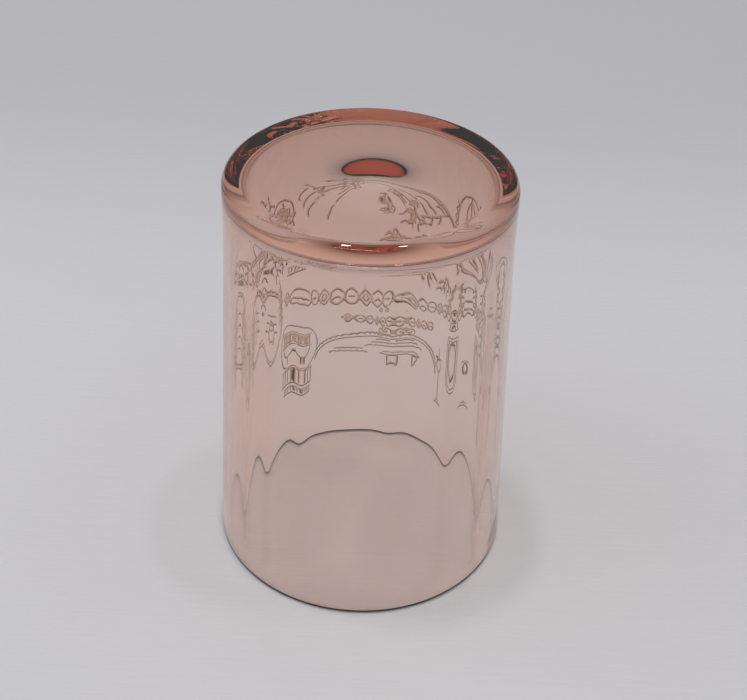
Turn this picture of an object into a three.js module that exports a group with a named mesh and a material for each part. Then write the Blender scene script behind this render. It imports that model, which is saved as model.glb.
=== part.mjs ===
// A souvenir shot glass pressed in one piece of pink body-tinted glass, standing mouth down.
// Millimetres, +Z up. The rim rests on the plane z = 0, the glass's own axis is the Z axis,
// and the thick base, which is the foot when the glass stands upright, is at the top.

import * as THREE from 'three';

// Overall sizes
const HEIGHT = 60.0;
const RIM_DIAMETER = 42.6;
const BASE_DIAMETER = 38.9;

// Glass thicknesses
const RIM_WALL = 1.2;
const MIDDLE_WALL = 1.35;
const FLOOR_WALL = 2.2;
const BASE_THICKNESS = 3.0;

// Measured down from the base's flat face: where the outside turns from a plain cylinder into
// a flare, and where the inside starts to close in on the floor.
const CYLINDER_DROP = 9.2;
const CLOSING_DROP = 14.0;

// Rounds
const BASE_EDGE_RADIUS = 1.9;
const FLOOR_CORNER_RADIUS = 1.8;
const RIM_ROUND = 0.42;

// The plunger leaves a shallow round dimple in the middle of the floor, where the base is thinnest.
const DIMPLE_DIAMETER = 14.0;
const DIMPLE_DEPTH = 1.15;

const TURN_SEGMENTS = 56;
const ARC_STEPS = 5;
const DIMPLE_STEPS = 5;

// Points of an arc round (r, z), from one angle to another, in degrees.
function arc(r, z, radius, fromDegrees, toDegrees, steps = ARC_STEPS) {
  const points = [];
  for (let i = 0; i <= steps; i += 1) {
    const angle = THREE.MathUtils.degToRad(fromDegrees + (toDegrees - fromDegrees) * i / steps);
    points.push(new THREE.Vector2(r + radius * Math.cos(angle), z + radius * Math.sin(angle)));
  }
  return points;
}

// The outside of the wall: a straight flare from the cylinder below the base out to the rim.
function flareRadius(height) {
  const share = Math.min(height / (HEIGHT - CYLINDER_DROP), 1);
  return THREE.MathUtils.lerp(RIM_DIAMETER, BASE_DIAMETER, share) / 2;
}

// The inside, from the middle of the floor out to the wall and down to the rim.
function insideOutline() {
  const floorHeight = HEIGHT - BASE_THICKNESS;
  const floorRadius = BASE_DIAMETER / 2 - FLOOR_WALL;
  const closingHeight = HEIGHT - CLOSING_DROP;
  const points = [];
  for (let i = 0; i <= DIMPLE_STEPS; i += 1) {
    const share = i / DIMPLE_STEPS;
    const rise = DIMPLE_DEPTH * (1 + Math.cos(Math.PI * share)) / 2;
    points.push(new THREE.Vector2(DIMPLE_DIAMETER / 2 * share, floorHeight + rise));
  }
  points.push(...arc(
    floorRadius - FLOOR_CORNER_RADIUS,
    floorHeight - FLOOR_CORNER_RADIUS,
    FLOOR_CORNER_RADIUS,
    90,
    0,
  ));
  points.push(new THREE.Vector2(flareRadius(closingHeight) - MIDDLE_WALL, closingHeight));
  points.push(new THREE.Vector2(RIM_DIAMETER / 2 - RIM_WALL, RIM_ROUND));
  return points;
}

// The rim: a narrow flat land between two small rounds.
function rimOutline() {
  const outerRadius = RIM_DIAMETER / 2;
  const innerRadius = outerRadius - RIM_WALL;
  return [
    ...arc(innerRadius + RIM_ROUND, RIM_ROUND, RIM_ROUND, 180, 270, 3).slice(1),
    ...arc(outerRadius - RIM_ROUND, RIM_ROUND, RIM_ROUND, 270, 360, 3),
  ];
}

// The outside, from the end of the flare over the base's rounded edge to its flat face.
function outsideOutline() {
  const baseRadius = BASE_DIAMETER / 2;
  return [
    new THREE.Vector2(baseRadius, HEIGHT - CYLINDER_DROP),
    ...arc(baseRadius - BASE_EDGE_RADIUS, HEIGHT - BASE_EDGE_RADIUS, BASE_EDGE_RADIUS, 0, 90),
    new THREE.Vector2(0, HEIGHT),
  ];
}

function glassGeometry() {
  const outline = [...insideOutline(), ...rimOutline(), ...outsideOutline()];
  const geometry = new THREE.LatheGeometry(outline, TURN_SEGMENTS);
  geometry.rotateX(Math.PI / 2);
  return geometry;
}

const pinkGlass = new THREE.MeshStandardMaterial({
  color: '#d9aa9c',
  roughness: 0.05,
  metalness: 0,
  transparent: true,
  opacity: 0.55,
});

const shotGlass = new THREE.Group();
const glassBody = new THREE.Mesh(glassGeometry(), pinkGlass);
glassBody.name = 'glass_body';
shotGlass.add(glassBody);

export default shotGlass;
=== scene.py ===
import math

import bmesh
import bpy
import numpy as np
from mathutils import Matrix, Vector
from mathutils.geometry import delaunay_2d_cdt
from mathutils.kdtree import KDTree


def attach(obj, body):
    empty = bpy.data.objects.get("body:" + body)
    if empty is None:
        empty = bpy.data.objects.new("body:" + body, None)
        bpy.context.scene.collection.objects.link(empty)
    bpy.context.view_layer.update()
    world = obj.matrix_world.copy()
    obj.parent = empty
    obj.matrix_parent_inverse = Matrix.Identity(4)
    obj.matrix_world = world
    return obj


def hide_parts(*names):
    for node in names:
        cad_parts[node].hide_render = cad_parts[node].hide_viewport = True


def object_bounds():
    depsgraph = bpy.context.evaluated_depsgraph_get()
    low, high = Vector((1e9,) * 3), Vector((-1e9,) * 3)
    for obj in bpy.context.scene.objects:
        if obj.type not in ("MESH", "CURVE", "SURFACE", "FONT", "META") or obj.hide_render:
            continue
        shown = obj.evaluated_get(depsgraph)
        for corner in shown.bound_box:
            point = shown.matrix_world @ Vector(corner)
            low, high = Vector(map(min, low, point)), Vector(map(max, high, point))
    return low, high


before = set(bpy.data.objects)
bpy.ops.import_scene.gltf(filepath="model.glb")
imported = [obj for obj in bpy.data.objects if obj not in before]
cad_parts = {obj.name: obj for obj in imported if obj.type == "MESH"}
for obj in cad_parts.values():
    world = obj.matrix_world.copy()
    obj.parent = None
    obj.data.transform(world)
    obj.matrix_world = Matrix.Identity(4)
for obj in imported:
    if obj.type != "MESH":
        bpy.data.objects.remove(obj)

# A shot glass of pink body-tinted glass, standing mouth down on its rim.
# Lengths are in millimetres until a mesh is made. Angles round the glass start at the far
# side, +Y, and grow towards +X. The ornament is cut in the outside of the wall.

MM = 0.001
CAD_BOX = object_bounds()

# Sizes of the glass body
HEIGHT = CAD_BOX[1].z / MM
RIM_RADIUS = (CAD_BOX[1].x - CAD_BOX[0].x) / 2 / MM
BASE_RADIUS = 19.45
RIM_WALL = 1.2
MIDDLE_WALL = 1.35
FLOOR_WALL = 2.2
BASE_THICKNESS = 3.0
CYLINDER_Z = HEIGHT - 9.2
CLOSING_Z = HEIGHT - 14.0
EDGE_ROUND = 1.9
FLOOR_CORNER = 1.8
RIM_ROUND = 0.42
DIMPLE_RADIUS = 9.5
DIMPLE_SPREAD = 3.3
DIMPLE_DEPTH = 1.15
DIMPLE_OFFSET = (0.4, -1.2)

# Unevenness of the inside: upright streaks of thicker glass, as (degrees from the near side towards
# +X, thickness in mm, half width in degrees), on a wall that is thicker on the left
STREAKS = (
    (-57, 0.16, 4.6), (-43.5, 0.14, 3.2), (-28, 0.09, 2.8), (-8, 0.05, 6.0), (11.5, 0.18, 4.0),
    (38, 0.24, 4.4), (59, 0.17, 4.8), (131, 0.04, 5.0), (158, 0.03, 6.0), (-128, 0.04, 5.0),
    (-152, 0.03, 6.0))
WALL_LEAN = 0.18

# Ornament: cut lines
CUT_DEPTH = 0.2
CUT_FLAT = 0.08
CUT_WIDTH = 0.22
CUT_STEP = 0.34
LEAF_GAP = 0.9
ROUND_STEPS = 240
ORNAMENT_RADIUS = 20.0
PANEL_LOW = 5.0
PANEL_HIGH = 50.0
PANEL_ROW = 1.1
PANEL_MARGIN = 0.3
CUT_POINT_GAP = 0.1
CUT_SAMPLE_STEP = 0.06


# ---------------------------------------------------------------- colours and nodes

def linear(hex_colour, alpha=1.0):
    """An sRGB hex colour as linear RGBA."""
    channels = [int(hex_colour[i:i + 2], 16) / 255 for i in (1, 3, 5)]
    made = [c / 12.92 if c <= 0.04045 else ((c + 0.055) / 1.055) ** 2.4 for c in channels]
    return (*made, alpha)


def add_node(tree, kind, inputs=None, **settings):
    """Adds a node. inputs maps a socket's name or number to a value or to a socket to link."""
    node = tree.nodes.new(kind)
    for name, value in settings.items():
        setattr(node, name, value)
    for name, value in (inputs or {}).items():
        if isinstance(value, bpy.types.NodeSocket):
            tree.links.new(value, node.inputs[name])
        else:
            node.inputs[name].default_value = value
    return node


# ---------------------------------------------------------------- shape of the glass

def smooth(t):
    t = min(max(t, 0.0), 1.0)
    return t * t * (3 - 2 * t)


def outer_radius(z):
    """The outside of the wall: a straight flare from the rim to the cylinder below the base."""
    return RIM_RADIUS + (BASE_RADIUS - RIM_RADIUS) * min(z / CYLINDER_Z, 1)


def inner_radius(z):
    """The inside of the wall: straight from the rim, then closing in a little on the floor."""
    corner_z = HEIGHT - BASE_THICKNESS - FLOOR_CORNER
    heights = (RIM_ROUND, CLOSING_Z, corner_z)
    radii = (RIM_RADIUS - RIM_WALL, outer_radius(CLOSING_Z) - MIDDLE_WALL, BASE_RADIUS - FLOOR_WALL)
    return float(np.interp(z, heights, radii))


def wall_wave(angle, z):
    """How far the inside stands off its plain cone, fading out at the rim and the floor."""
    near = math.degrees(math.pi - angle)
    off = WALL_LEAN * math.sin(angle)
    for middle, thickness, half_width in STREAKS:
        away = (near - middle - 0.05 * z + 180) % 360 - 180
        off -= thickness * math.exp(-away * away / (2 * half_width ** 2))
    return off * smooth((z - 0.3) / 2.5) * smooth((HEIGHT - BASE_THICKNESS - 2 - z) / 6)


def dimple(x, y):
    """How far the floor rises into the base round its middle, a soft dome a little off the axis."""
    r = math.hypot(x - DIMPLE_OFFSET[0], y - DIMPLE_OFFSET[1])
    fading = smooth((DIMPLE_RADIUS + 1 - math.hypot(x, y)) / 3)
    return DIMPLE_DEPTH * math.exp(-r * r / (2 * DIMPLE_SPREAD ** 2)) * fading


def ring(radius, z, wavy=False):
    """One ring of points round the axis."""
    points = []
    for i in range(ROUND_STEPS):
        angle = math.tau * i / ROUND_STEPS - math.pi
        r = radius + (wall_wave(angle, z) if wavy else 0.0)
        points.append((r * math.sin(angle), r * math.cos(angle), z))
    return points


def arc(r, z, radius, start, end, steps):
    """Points of an arc in the (radius, height) plane, angles in degrees."""
    made = []
    for i in range(steps + 1):
        a = math.radians(start + (end - start) * i / steps)
        made.append((r + radius * math.cos(a), z + radius * math.sin(a)))
    return made


# ---------------------------------------------------------------- ornament, as cut lines
# A motif is a list of lines, each a list of (across, down) points in mm: across is the arc
# length from the far side at ORNAMENT_RADIUS, and down is the height over the rim, which
# grows towards the foot, so a motif reads upright when the glass stands on its foot.

def oval(x, z, half_wide, half_high, start=0, end=360, steps=28):
    points = []
    for i in range(steps + 1):
        a = math.radians(start + (end - start) * i / steps)
        points.append((x + half_wide * math.cos(a), z + half_high * math.sin(a)))
    return [points]


def bend(start, middle, end, steps=14):
    """A quadratic curve pulled towards its middle point."""
    points = []
    for i in range(steps + 1):
        t = i / steps
        weights = ((1 - t) ** 2, 2 * t * (1 - t), t * t)
        points.append(tuple(sum(w * p[k] for w, p in zip(weights, (start, middle, end))) for k in (0, 1)))
    return [points]


def line(*points):
    return [list(points)]


def moved(motif, x, z, scale=1.0, turn=0.0):
    c, s = math.cos(math.radians(turn)) * scale, math.sin(math.radians(turn)) * scale
    return [[(x + c * px - s * pz, z + s * px + c * pz) for px, pz in points] for points in motif]


def scalloped(curve, waves, depth):
    """The curve with small waves across it, as a rope or a leafy edge has."""
    made = []
    for points in curve:
        total = len(points) - 1
        wavy = []
        for i in range(total * 4 + 1):
            t = i / 4
            k = min(int(t), total - 1)
            a, b = points[k], points[k + 1]
            dx, dz = b[0] - a[0], b[1] - a[1]
            size = math.hypot(dx, dz) or 1.0
            off = depth * abs(math.sin(math.pi * waves * i / (total * 4)))
            along_x, along_z = a[0] + dx * (t - k), a[1] + dz * (t - k)
            wavy.append((along_x - dz / size * off, along_z + dx / size * off))
        made.append(wavy)
    return made


def twig(length, leaves, spread=1.0):
    """A twig that grows up from (0, 0) with leaves on both sides."""
    made = bend((0, 0), (0.15 * length, -0.5 * length), (0, -length))
    count = min(leaves, math.ceil(length / LEAF_GAP))
    for i in range(count):
        z = -length * (i + 1) / (count + 0.5)
        side = 1 if i % 2 else -1
        made += bend((0.04 * length, z), (side * spread * 0.8, z - 0.1), (side * spread, z - 0.9), 6)
    return made


def cypress(height, half_wide):
    made = bend((0, 0), (-2 * half_wide, -0.35 * height), (0, -height), 16)
    made += bend((0, 0), (2 * half_wide, -0.35 * height), (0, -height), 16)
    made += line((0, 0.8), (0, -0.7 * height))
    return made


def pavilion(wide, high):
    """A small domed garden pavilion with four columns on a step."""
    made = line((-wide / 2, 0), (wide / 2, 0))
    made += line((-wide / 2, -0.5), (wide / 2, -0.5))
    for i in range(4):
        x = wide * (i / 3 - 0.5) * 0.86
        made += line((x, -0.5), (x, -0.55 * high))
    made += line((-wide / 2, -0.55 * high), (wide / 2, -0.55 * high))
    made += oval(0, -0.55 * high, wide * 0.42, 0.4 * high, 180, 360, 14)
    made += line((0, -0.95 * high), (0, -1.12 * high))
    return made


def sailing_boat(wide):
    made = bend((-wide / 2, 0), (0, 1.5), (wide / 2, -0.1), 10)
    made += line((-wide / 2, 0), (wide / 2, -0.1))
    made += line((0, 0), (0, -0.55 * wide), (wide * 0.36, -0.3), (0, -0.2))
    return made


def ripples(wide, rows, gap):
    made = []
    for i in range(rows):
        half = wide / 2 * (1 - 0.28 * i)
        made += scalloped(bend((-half, gap * i), (0, gap * i + 0.2), (half, gap * i), 8), 5, 0.22)
    return made


def shutter(wide, high, bars):
    """Upright bars between two rails."""
    made = line((-wide / 2, 0), (wide / 2, 0)) + line((-wide / 2, high), (wide / 2, high))
    for i in range(bars):
        x = wide * (i / (bars - 1) - 0.5) * 0.9
        made += line((x, 0), (x, high))
    return made


def lamp_post(high):
    made = line((-0.9, 0), (0.9, 0)) + line((-0.6, -0.6), (0.6, -0.6)) + line((0, -0.6), (0, -0.6 * high))
    made += oval(0, -0.72 * high, 0.8, 0.12 * high, steps=12)
    made += line((-0.9, -0.86 * high), (0.9, -0.86 * high)) + line((0, -0.86 * high), (0, -high))
    return made


def arched_panel(wide, high):
    """A panel with a round head, double-lined."""
    made = []
    for inset in (0.0, 0.75):
        w, h = wide / 2 - inset, high - inset
        made += line((-w, -inset), (-w, -(h - w))) + line((w, -inset), (w, -(h - w)))
        made += oval(0, -(h - w), w, w, 180, 360, 14)
        made += line((-w, -inset), (w, -inset))
    return made


def lozenge(wide, high):
    return line((0, -high / 2), (wide / 2, 0), (0, high / 2), (-wide / 2, 0), (0, -high / 2))


def scroll(size, side=1):
    points = []
    for i in range(19):
        a = math.radians(200 + side * 26 * i)
        r = size * (0.55 - 0.024 * i)
        points.append((r * math.cos(a), r * math.sin(a)))
    return [points]


def border(start, end, sag, count, size):
    """A curved row of lozenges, rings and leaf pairs, which repeats by threes."""
    made = []
    for i in range(count):
        t = i / (count - 1)
        x = start + (end - start) * t
        z = sag(t)
        kind = i % 3
        if kind == 0:
            made += moved(lozenge(size * 0.72, size), x, z) + moved(lozenge(size * 0.3, size * 0.45), x, z)
        elif kind == 1:
            for side in (-1, 1):
                leaf = bend((0, 0.5 * size), (side * 0.75 * size, 0), (0, -0.5 * size), 8)
                made += moved(leaf, x, z) + line((x, z), (x + side * 0.26 * size, z - 0.2 * size))
        else:
            made += oval(x, z, size * 0.3, size * 0.46, steps=14)
            made += line((x - size * 0.12, z), (x + size * 0.12, z))
    return made


def ornament():
    """The whole garden scene, in lines."""
    made = []
    # the shore: a scalloped garland with a crest below its middle
    shore = bend((-9.4, 16.6), (-5.5, 23.2), (3.6, 21.8)) + bend((3.6, 21.8), (10.5, 21.6), (12.2, 16.2))
    made += shore
    made += scalloped(moved(shore, 0, 0.75), 14, 0.3)
    made += moved(scroll(2.0, 1), 2.7, 23.4) + moved(scroll(2.0, -1), 4.7, 23.4)
    made += moved(lozenge(1.0, 1.8), 3.7, 24.1)
    # the boat on the water
    made += moved(sailing_boat(4.4), 5.2, 17.0)
    made += moved(ripples(8.6, 3, 0.95), 3.4, 19.1)
    made += moved(ripples(5.2, 2, 0.9), -3.4, 17.2)
    # the two border rows, curved like the shore
    made += border(-3.4, 9.8, lambda t: 26.2 - 0.5 * math.sin(math.pi * t), 9, 2.1)
    made += border(-13.4, 20.4, lambda t: 30.9 + 0.9 * (2 * t - 1) ** 2, 17, 3.2)
    for x in (2.4, 4.0):
        made += oval(x, 28.6, 0.3, 0.5, steps=8)
    # left: a medallion with a tree, and a round-headed frame with a pavilion
    made += oval(-21.6, 28.6, 5.6, 6.6) + scalloped(oval(-21.6, 28.6, 6.4, 7.4), 26, 0.35)
    made += moved(twig(8.0, 7, 2.6), -21.8, 33.4)
    made += oval(-12.4, 20.6, 3.7, 4.9, 0, 360)
    made += moved(pavilion(4.2, 5.6), -13.0, 23.4) + moved(shutter(3.4, 1.7, 6), -13.0, 20.9)
    made += moved(shutter(4.4, 3.0, 5), -12.8, 12.4) + moved(shutter(3.0, 1.3, 5), -12.6, 10.4)
    # right: a lamp post, two arched panels, clipped trees and a tall tower
    made += moved(lamp_post(10.5), 13.6, 10.2, 1.0, 180)
    made += moved(arched_panel(4.0, 11.0), 19.6, 26.2)
    made += moved(cypress(8.6, 1.0), 19.6, 25.4)
    made += moved(arched_panel(4.6, 13.5), 26.6, 35.0) + moved(shutter(3.0, 2.2, 5), 26.6, 25.0)
    made += moved(shutter(3.4, 3.2, 4), 26.6, 30.4) + moved(cypress(9.0, 0.8), 26.2, 21.4)
    made += moved(lozenge(1.3, 3.2), 26.2, 11.6) + line((26.2, 13.2), (26.2, 17.4))
    # the foot's band: boughs, an arch, an oval and tufts of grass
    made += moved(twig(6.0, 8, 1.9), -8.6, 47.6, 1.0, 62) + moved(twig(5.0, 6, 1.6), -9.4, 47.4, 1.0, 118)
    made += moved(twig(4.4, 6, 1.6), -11.4, 46.6, 1.0, 30)
    made += oval(-15.0, 42.6, 2.1, 2.6) + moved(twig(3.8, 5, 1.2), -15.0, 44.6)
    made += moved(twig(6.6, 9, 1.7), -18.4, 46.8) + oval(-20.6, 44.6, 1.6, 2.4)
    arch = bend((-6.8, 46.2), (4.0, 47.4), (10.6, 44.9)) + bend((10.6, 44.9), (13.4, 43.4), (14.8, 39.6))
    made += arch + scalloped(moved(arch, 0.3, -0.85), 10, 0.3)
    made += oval(17.2, 43.6, 2.6, 4.3) + moved(cypress(6.2, 0.9), 17.4, 47.0)
    made += bend((-6.0, 43.4), (2.0, 44.4), (6.6, 42.0)) + bend((6.6, 42.0), (7.6, 41.0), (6.0, 39.6))
    for x, z in ((6.6, 41.6), (3.6, 38.2), (8.4, 38.0), (12.6, 37.4)):
        made += moved(twig(2.2, 4, 0.9), x, z, 1.0, -25) + moved(twig(2.0, 4, 0.8), x + 0.3, z, 1.0, 30)
    made += moved(ripples(7.0, 2, 0.8), 5.0, 35.8)
    made += moved(cypress(6.6, 1.2), 22.6, 45.6) + moved(twig(5.4, 7, 1.5), 20.4, 37.6)
    made += moved(twig(5.2, 9, 1.5), -10.4, 45.4, 1.0, 80) + moved(twig(4.6, 8, 1.4), -7.2, 44.8, 1.0, 20)
    made += moved(twig(4.6, 8, 1.3), -12.6, 42.4, 1.0, -40) + moved(twig(4.0, 7, 1.3), -17.6, 41.2, 1.0, 15)
    made += moved(arched_panel(2.6, 3.8), -15.0, 43.4) + moved(shutter(1.8, 1.6, 4), -15.0, 41.6)
    made += scalloped(oval(17.2, 43.6, 3.2, 4.9, 150, 400), 16, 0.4)
    made += moved(shutter(1.6, 3.4, 3), 19.8, 40.4)
    made += moved(twig(5.0, 9, 1.4), 12.6, 43.0, 1.0, -70) + moved(lamp_post(4.8), 22.0, 41.4, 1.0, 0)
    # upright garlands of leaves between the panels
    for x, z, high in ((-25.8, 35.6, 15.0), (-16.4, 36.0, 8.0), (23.2, 37.4, 13.0), (15.6, 37.0, 6.0)):
        made += scalloped(line((x, z), (x - 0.3, z - high / 2), (x, z - high)), 4, 0.5)
        made += moved(twig(high, round(high * 1.1), 0.9), x, z)
    made += moved(shutter(4.0, 1.1, 7), -20.8, 38.0) + moved(shutter(3.2, 1.1, 6), -12.0, 36.6)
    made += moved(pavilion(5.0, 5.4), -20.6, 42.2) + moved(shutter(4.2, 2.0, 6), 19.4, 28.0)
    # far left and far right sides: foliage that closes the scene
    made += moved(twig(9.0, 9, 2.0), -28.4, 34.0) + moved(cypress(10.0, 1.2), -31.2, 30.0)
    made += moved(twig(5.2, 7, 1.6), -25.6, 44.2) + oval(-23.4, 40.6, 2.2, 1.7)
    made += moved(cypress(11.0, 1.3), 31.8, 32.0) + moved(twig(6.0, 7, 1.8), 31.0, 43.4)
    return made


def resampled(points, step):
    """The line's points at an even spacing."""
    made = [np.array(points[0])]
    for a, b in zip(points, points[1:]):
        a, b = np.array(a), np.array(b)
        count = max(1, round(float(np.linalg.norm(b - a)) / step))
        made += [a + (b - a) * k / count for k in range(1, count + 1)]
    return np.array(made)


def cut_depths(points, middles):
    """How deep the cut is at each point, from its distance to the middle of the nearest cut."""
    tree = KDTree(len(middles))
    for k, (x, z) in enumerate(middles):
        tree.insert((x, z, 0), k)
    tree.balance()
    away = np.array([tree.find((x, z, 0))[2] for x, z in points])
    share = np.clip((CUT_WIDTH - away) / (CUT_WIDTH - CUT_FLAT), 0, 1)
    return away, CUT_DEPTH * share * share * (3 - 2 * share)


def thinned(points, gap):
    """Keeps one point in each square of that size."""
    first = np.unique(np.floor(points / gap).astype(int), axis=0, return_index=True)[1]
    return points[np.sort(first)]


def ornament_panel():
    """The outside of the wall between PANEL_LOW and PANEL_HIGH, unrolled, with the cuts in it."""
    motifs = ornament()
    beside = []
    for points in motifs:
        p = resampled(points, CUT_STEP)
        run = np.gradient(p, axis=0)
        run /= np.maximum(np.linalg.norm(run, axis=1), 1e-9)[:, None]
        side = np.stack([-run[:, 1], run[:, 0]], 1)
        for offset in (CUT_FLAT, CUT_WIDTH, CUT_WIDTH + 0.12):
            beside += [p + side * offset, p - side * offset]
    half = math.pi * ORNAMENT_RADIUS
    cuts = thinned(np.concatenate(beside), CUT_POINT_GAP)
    inside = (cuts[:, 1] > PANEL_LOW + PANEL_MARGIN) & (cuts[:, 1] < PANEL_HIGH - PANEL_MARGIN)
    cuts = cuts[(np.abs(cuts[:, 0]) < half - 1) & inside]
    rows = round((PANEL_HIGH - PANEL_LOW) / PANEL_ROW)
    across = np.linspace(-half, half, ROUND_STEPS + 1)
    down = np.linspace(PANEL_LOW, PANEL_HIGH, rows + 1)
    sides = np.array([(x, z) for z in down for x in (-half, half)])
    ends = np.array([(x, z) for z in (down[0], down[-1]) for x in across[1:-1]])
    plain = np.array([(x, z) for z in down[1:-1] for x in across[1:-1]])
    middles = np.concatenate([resampled(points, CUT_SAMPLE_STEP) for points in motifs])
    plain = plain[cut_depths(plain, middles)[0] > CUT_WIDTH + 0.3]
    points = np.concatenate([sides, ends, plain, cuts])
    made = delaunay_2d_cdt([Vector(p) for p in points], [], [], 0, 1e-7)
    # points that fall together come back as one, so the points are taken from what came back
    points = points[[same[0] for same in made[3]]]
    return points, cut_depths(points, middles)[1], made[2], rows


def glass_mesh():
    """One closed surface: the cut panel, and plain rings for all the rest."""
    vertices, faces, cuts = [], [], []

    def add_ring(points):
        first = len(vertices)
        vertices.extend(points)
        cuts.extend([0.0] * len(points))
        return [first + i for i in range(len(points))]

    def bridge(a, b):
        for i in range(ROUND_STEPS):
            j = (i + 1) % ROUND_STEPS
            faces.append((a[i], a[j], b[j], b[i]))

    # the cut panel; its two upright edges meet at the near side of the glass
    flat, depths, triangles, rows = ornament_panel()
    half = math.pi * ORNAMENT_RADIUS
    index = {}
    low, high = [None] * ROUND_STEPS, [None] * ROUND_STEPS
    for k, ((x, z), depth) in enumerate(zip(flat, depths)):
        if x > half - 1e-6:
            continue
        angle = x / ORNAMENT_RADIUS
        r = outer_radius(z) - depth
        index[k] = len(vertices)
        column = round((x + half) / (2 * half) * ROUND_STEPS)
        if z < PANEL_LOW + 1e-6:
            low[column] = len(vertices)
        if z > PANEL_HIGH - 1e-6:
            high[column] = len(vertices)
        vertices.append((r * math.sin(angle), r * math.cos(angle), z))
        cuts.append(depth / CUT_DEPTH)
    for row in range(rows + 1):
        index[2 * row + 1] = index[2 * row]
    for a, b, c in triangles:
        faces.append((index[a], index[c], index[b]))

    # outside, down to the rim, round it and up the inside to the floor
    rim_inside = RIM_RADIUS - RIM_WALL
    floor_z = HEIGHT - BASE_THICKNESS
    floor_radius = BASE_RADIUS - FLOOR_WALL
    last = low
    for z in (3.6, 2.4, 1.4, 0.8):
        now = add_ring(ring(outer_radius(z), z))
        bridge(now, last)
        last = now
    outline = arc(RIM_RADIUS - RIM_ROUND, RIM_ROUND, RIM_ROUND, 0, -90, 8)
    outline += arc(rim_inside + RIM_ROUND, RIM_ROUND, RIM_ROUND, -90, -180, 8)
    for r, z in outline:
        now = add_ring(ring(r, z))
        bridge(now, last)
        last = now
    corner_z = floor_z - FLOOR_CORNER
    steps = 34
    for i in range(1, steps + 1):
        z = RIM_ROUND + (corner_z - RIM_ROUND) * i / steps
        now = add_ring(ring(inner_radius(z), z, wavy=True))
        bridge(now, last)
        last = now
    outline = arc(floor_radius - FLOOR_CORNER, corner_z, FLOOR_CORNER, 0, 90, 14)[1:]
    outline += [(r, floor_z) for r in (13.6, 12.0)]
    outline += [(r, floor_z) for r in np.linspace(DIMPLE_RADIUS + 1, 0, 36)[:-1]]
    for r, z in outline:
        points = ring(r, z)
        if r < DIMPLE_RADIUS + 1.5:
            points = [(px, py, pz + dimple(px, py)) for px, py, pz in points]
        now = add_ring(points)
        bridge(now, last)
        last = now
    vertices.append((0, 0, floor_z + dimple(0, 0)))
    cuts.append(0.0)
    middle = len(vertices) - 1
    for i in range(ROUND_STEPS):
        faces.append((last[i], last[(i + 1) % ROUND_STEPS], middle))

    # outside, up over the belly and the base's rounded edge to its flat face
    outline = [(BASE_RADIUS, z) for z in np.linspace(CYLINDER_Z, HEIGHT - EDGE_ROUND, 8)[:-1]]
    outline += arc(BASE_RADIUS - EDGE_ROUND, HEIGHT - EDGE_ROUND, EDGE_ROUND, 0, 90, 16)
    outline += [(r, HEIGHT) for r in (15.0, 12.0, 8.0, 4.0)]
    last = high
    for r, z in outline:
        now = add_ring(ring(r, z))
        bridge(last, now)
        last = now
    vertices.append((0, 0, HEIGHT))
    cuts.append(0.0)
    middle = len(vertices) - 1
    for i in range(ROUND_STEPS):
        faces.append((last[(i + 1) % ROUND_STEPS], last[i], middle))

    mesh = bpy.data.meshes.new("pressed_glass_body")
    mesh.from_pydata([Vector(v) * MM for v in vertices], [], faces)
    shell = bmesh.new()
    shell.from_mesh(mesh)
    bmesh.ops.recalc_face_normals(shell, faces=shell.faces)
    shell.to_mesh(mesh)
    shell.free()
    mesh.polygons.foreach_set("use_smooth", [True] * len(mesh.polygons))
    cut = mesh.attributes.new("cut", "FLOAT", "POINT")
    cut.data.foreach_set("value", cuts)
    return mesh


# ---------------------------------------------------------------- materials
# Pattern scales are repeats per metre, and lengths here are in metres.

WEAR_SCALE = 900.0
CLOUD_SCALE = 9.0
RIB_SCALE = (60.0, 1500.0, 1.0)
RIB_RELIEF = 0.00009
# where the floor's painted shade begins and is full, in metres along +Y
PAINTED_SHADE_FAR_END = (0.045, 0.16)
GLASS_TINT = "#ec901e"
TINT_DENSITY = 145.0

def pressed_pink_glass():
    """Soda-lime glass with colour all through it, pressed and fire-polished. The eye sees pale pink
    where it is thin and brown-orange where the light runs a long way inside it."""
    material = bpy.data.materials.new("pressed_pink_soda_lime_glass")
    material.use_nodes = True
    tree = material.node_tree
    tree.nodes.clear()
    place = add_node(tree, "ShaderNodeTexCoord").outputs["Object"]
    cut = add_node(tree, "ShaderNodeAttribute", attribute_name="cut").outputs["Fac"]
    # fine wear, about 1 mm across, too shallow to see except as a little less polish
    wear = add_node(tree, "ShaderNodeTexNoise", {"Vector": place, "Scale": WEAR_SCALE, "Detail": 4.0})
    polish = add_node(tree, "ShaderNodeMapRange", {
        "Value": wear.outputs["Fac"], 1: 0.45, 2: 0.8, 3: 0.0, 4: 0.03}).outputs[0]
    frost = add_node(tree, "ShaderNodeMath", {0: cut, 1: 0.12}, operation="MULTIPLY").outputs[0]
    rough = add_node(tree, "ShaderNodeMath", {0: polish, 1: frost}, operation="ADD").outputs[0]
    # painted shade: brown mixed into the glass colour in the deeper part of each cut, standing in for the
    # dark look the light gives the cut lines
    deep = add_node(tree, "ShaderNodeMapRange", {"Value": cut, 1: 0.45, 2: 1.0}).outputs[0]
    painted_cut_shade = add_node(tree, "ShaderNodeMix", {0: deep, 6: linear("#ffffff"), 7: linear("#ac8463")},
                    data_type="RGBA").outputs[2]
    shader = add_node(tree, "ShaderNodeBsdfPrincipled", {
        "Base Color": painted_cut_shade, "Roughness": rough, "IOR": 1.51, "Transmission Weight": 1.0})
    body = add_node(tree, "ShaderNodeVolumeAbsorption", {
        "Color": linear(GLASS_TINT), "Density": TINT_DENSITY})
    add_node(tree, "ShaderNodeOutputMaterial", {"Surface": shader.outputs[0], "Volume": body.outputs[0]})
    return material


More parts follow.
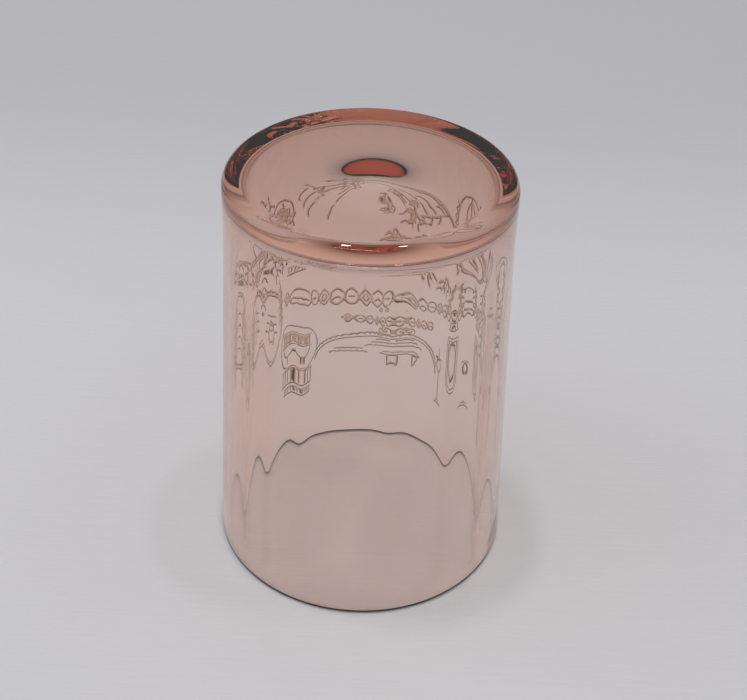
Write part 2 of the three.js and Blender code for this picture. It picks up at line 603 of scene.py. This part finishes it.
def matt_white_sheet():
    """A sheet of matt white coated fabric: fine weft ribs under 1 mm apart that catch the light, faint
    clouds, and a far end painted greyer as shade, where the light falls off towards the back."""
    material = bpy.data.materials.new("matt_white_coated_fabric")
    material.use_nodes = True
    tree = material.node_tree
    tree.nodes.clear()
    place = add_node(tree, "ShaderNodeTexCoord").outputs["Object"]
    across = add_node(tree, "ShaderNodeSeparateXYZ", {0: place}).outputs
    cloud = add_node(tree, "ShaderNodeTexNoise", {"Vector": place, "Scale": CLOUD_SCALE, "Detail": 5.0})
    # painted shade: the sheet turns greyer towards its far end, standing in for the light falling off there
    far = add_node(tree, "ShaderNodeMapRange", {
        "Value": across[1], 1: PAINTED_SHADE_FAR_END[0], 2: PAINTED_SHADE_FAR_END[1], 3: 0.0, 4: 1.0},
        interpolation_type="SMOOTHSTEP").outputs[0]
    pale = add_node(tree, "ShaderNodeMix", {
        0: cloud.outputs["Fac"], 6: linear("#d5d6da"), 7: linear("#dddee1")},
        data_type="RGBA").outputs[2]
    colour = add_node(tree, "ShaderNodeMix", {0: far, 6: pale, 7: linear("#c6c7cd")},
                      data_type="RGBA").outputs[2]
    stretched = add_node(tree, "ShaderNodeMapping", {"Vector": place, "Scale": RIB_SCALE}).outputs[0]
    rib = add_node(tree, "ShaderNodeTexNoise", {"Vector": stretched, "Scale": 1.0, "Detail": 2.0})
    relief = add_node(tree, "ShaderNodeBump", {
        "Height": rib.outputs["Fac"], "Distance": RIB_RELIEF, "Strength": 1.0}).outputs[0]
    shader = add_node(tree, "ShaderNodeBsdfPrincipled", {
        "Base Color": colour, "Roughness": 0.6, "Specular IOR Level": 0.25, "Normal": relief})
    add_node(tree, "ShaderNodeOutputMaterial", {"Surface": shader.outputs[0]})
    return material


# ---------------------------------------------------------------- the piece

def shown(name, mesh, material):
    piece = bpy.data.objects.new(name, mesh)
    bpy.context.collection.objects.link(piece)
    mesh.materials.append(material)
    return piece


glass = shown("glass_body_visual", glass_mesh(), pressed_pink_glass())
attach(glass, "root")
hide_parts("glass_body")


# ---------------------------------------------------------------- stage, light and camera

def floor_sheet():
    half = 1.6
    corners = [(-half, -half, 0), (half, -half, 0), (half, half, 0), (-half, half, 0)]
    mesh = bpy.data.meshes.new("paper_sheet")
    mesh.from_pydata(corners, [], [(0, 1, 2, 3)])
    sheet = shown("paper_sheet", mesh, matt_white_sheet())


def area_light(name, place, size, power, colour):
    """A rectangular light that faces the foot of the glass's axis."""
    data = bpy.data.lights.new(name, "AREA")
    data.shape = "RECTANGLE"
    data.size, data.size_y = size
    data.energy = power
    data.color = linear(colour)[:3]
    light = bpy.data.objects.new(name, data)
    light.location = place
    light.rotation_euler = (-Vector(place)).to_track_quat("-Z", "Y").to_euler()
    bpy.context.collection.objects.link(light)


def studio_world():
    """A pale room: bright overhead, dimmer low down and dimmest behind the glass."""
    world = bpy.data.worlds.new("soft_studio")
    world.use_nodes = True
    tree = world.node_tree
    tree.nodes.clear()
    place = add_node(tree, "ShaderNodeTexCoord").outputs["Generated"]
    toward = add_node(tree, "ShaderNodeSeparateXYZ", {0: place}).outputs
    behind = add_node(tree, "ShaderNodeMath", {0: toward[1], 1: -0.45}, operation="MULTIPLY").outputs[0]
    lifted = add_node(tree, "ShaderNodeMath", {0: toward[2], 1: behind}, operation="ADD").outputs[0]
    share = add_node(tree, "ShaderNodeMapRange", {"Value": lifted, 1: -0.5, 2: 0.5}).outputs[0]
    colour = add_node(tree, "ShaderNodeMix", {0: share, 6: linear("#6a605a"), 7: linear("#f8f6f6")},
                      data_type="RGBA").outputs[2]
    sky = add_node(tree, "ShaderNodeBackground", {"Color": colour, "Strength": 0.65})
    add_node(tree, "ShaderNodeOutputWorld", {"Surface": sky.outputs[0]})
    bpy.context.scene.world = world


def camera():
    """Stands 0.21 m off and looks down at the glass, turned a little about its own axis."""
    data = bpy.data.cameras.new("camera")
    data.sensor_width = 36.0
    data.lens = 64.41
    data.clip_start = 0.01
    eye = bpy.data.objects.new("camera", data)
    eye.location = (0.00246, -0.15307, 0.14366)
    pitch, yaw, roll = math.radians(36.31), math.radians(-0.491), math.radians(2.168)
    ahead = Vector((math.sin(yaw) * math.cos(pitch), math.cos(yaw) * math.cos(pitch), -math.sin(pitch)))
    level = ahead.to_track_quat("-Z", "Y").to_matrix()
    eye.rotation_mode = "QUATERNION"
    eye.rotation_quaternion = (level @ Matrix.Rotation(roll, 3, "Z")).to_quaternion()
    bpy.context.collection.objects.link(eye)
    bpy.context.scene.camera = eye


floor_sheet()
studio_world()
area_light("lamp_over_left", (-0.15, 0.06, 1.2), (0.12, 0.06), 1.35, "#ffffff")
area_light("lamp_over_right", (0.24, 0.05, 1.2), (0.10, 0.06), 0.8, "#fffaf4")
area_light("tube_in_front", (-0.12, -0.50, 1.2), (0.50, 0.03), 0.6, "#ffffff")
area_light("left_window", (-1.3, -0.1, 0.9), (1.4, 1.4), 4.6, "#f6f8ff")
camera()
bpy.context.scene.view_settings.view_transform = "Standard"
bpy.context.scene.cycles.max_bounces = 32
bpy.context.scene.cycles.transmission_bounces = 32
bpy.context.scene.cycles.blur_glossy = 0.0
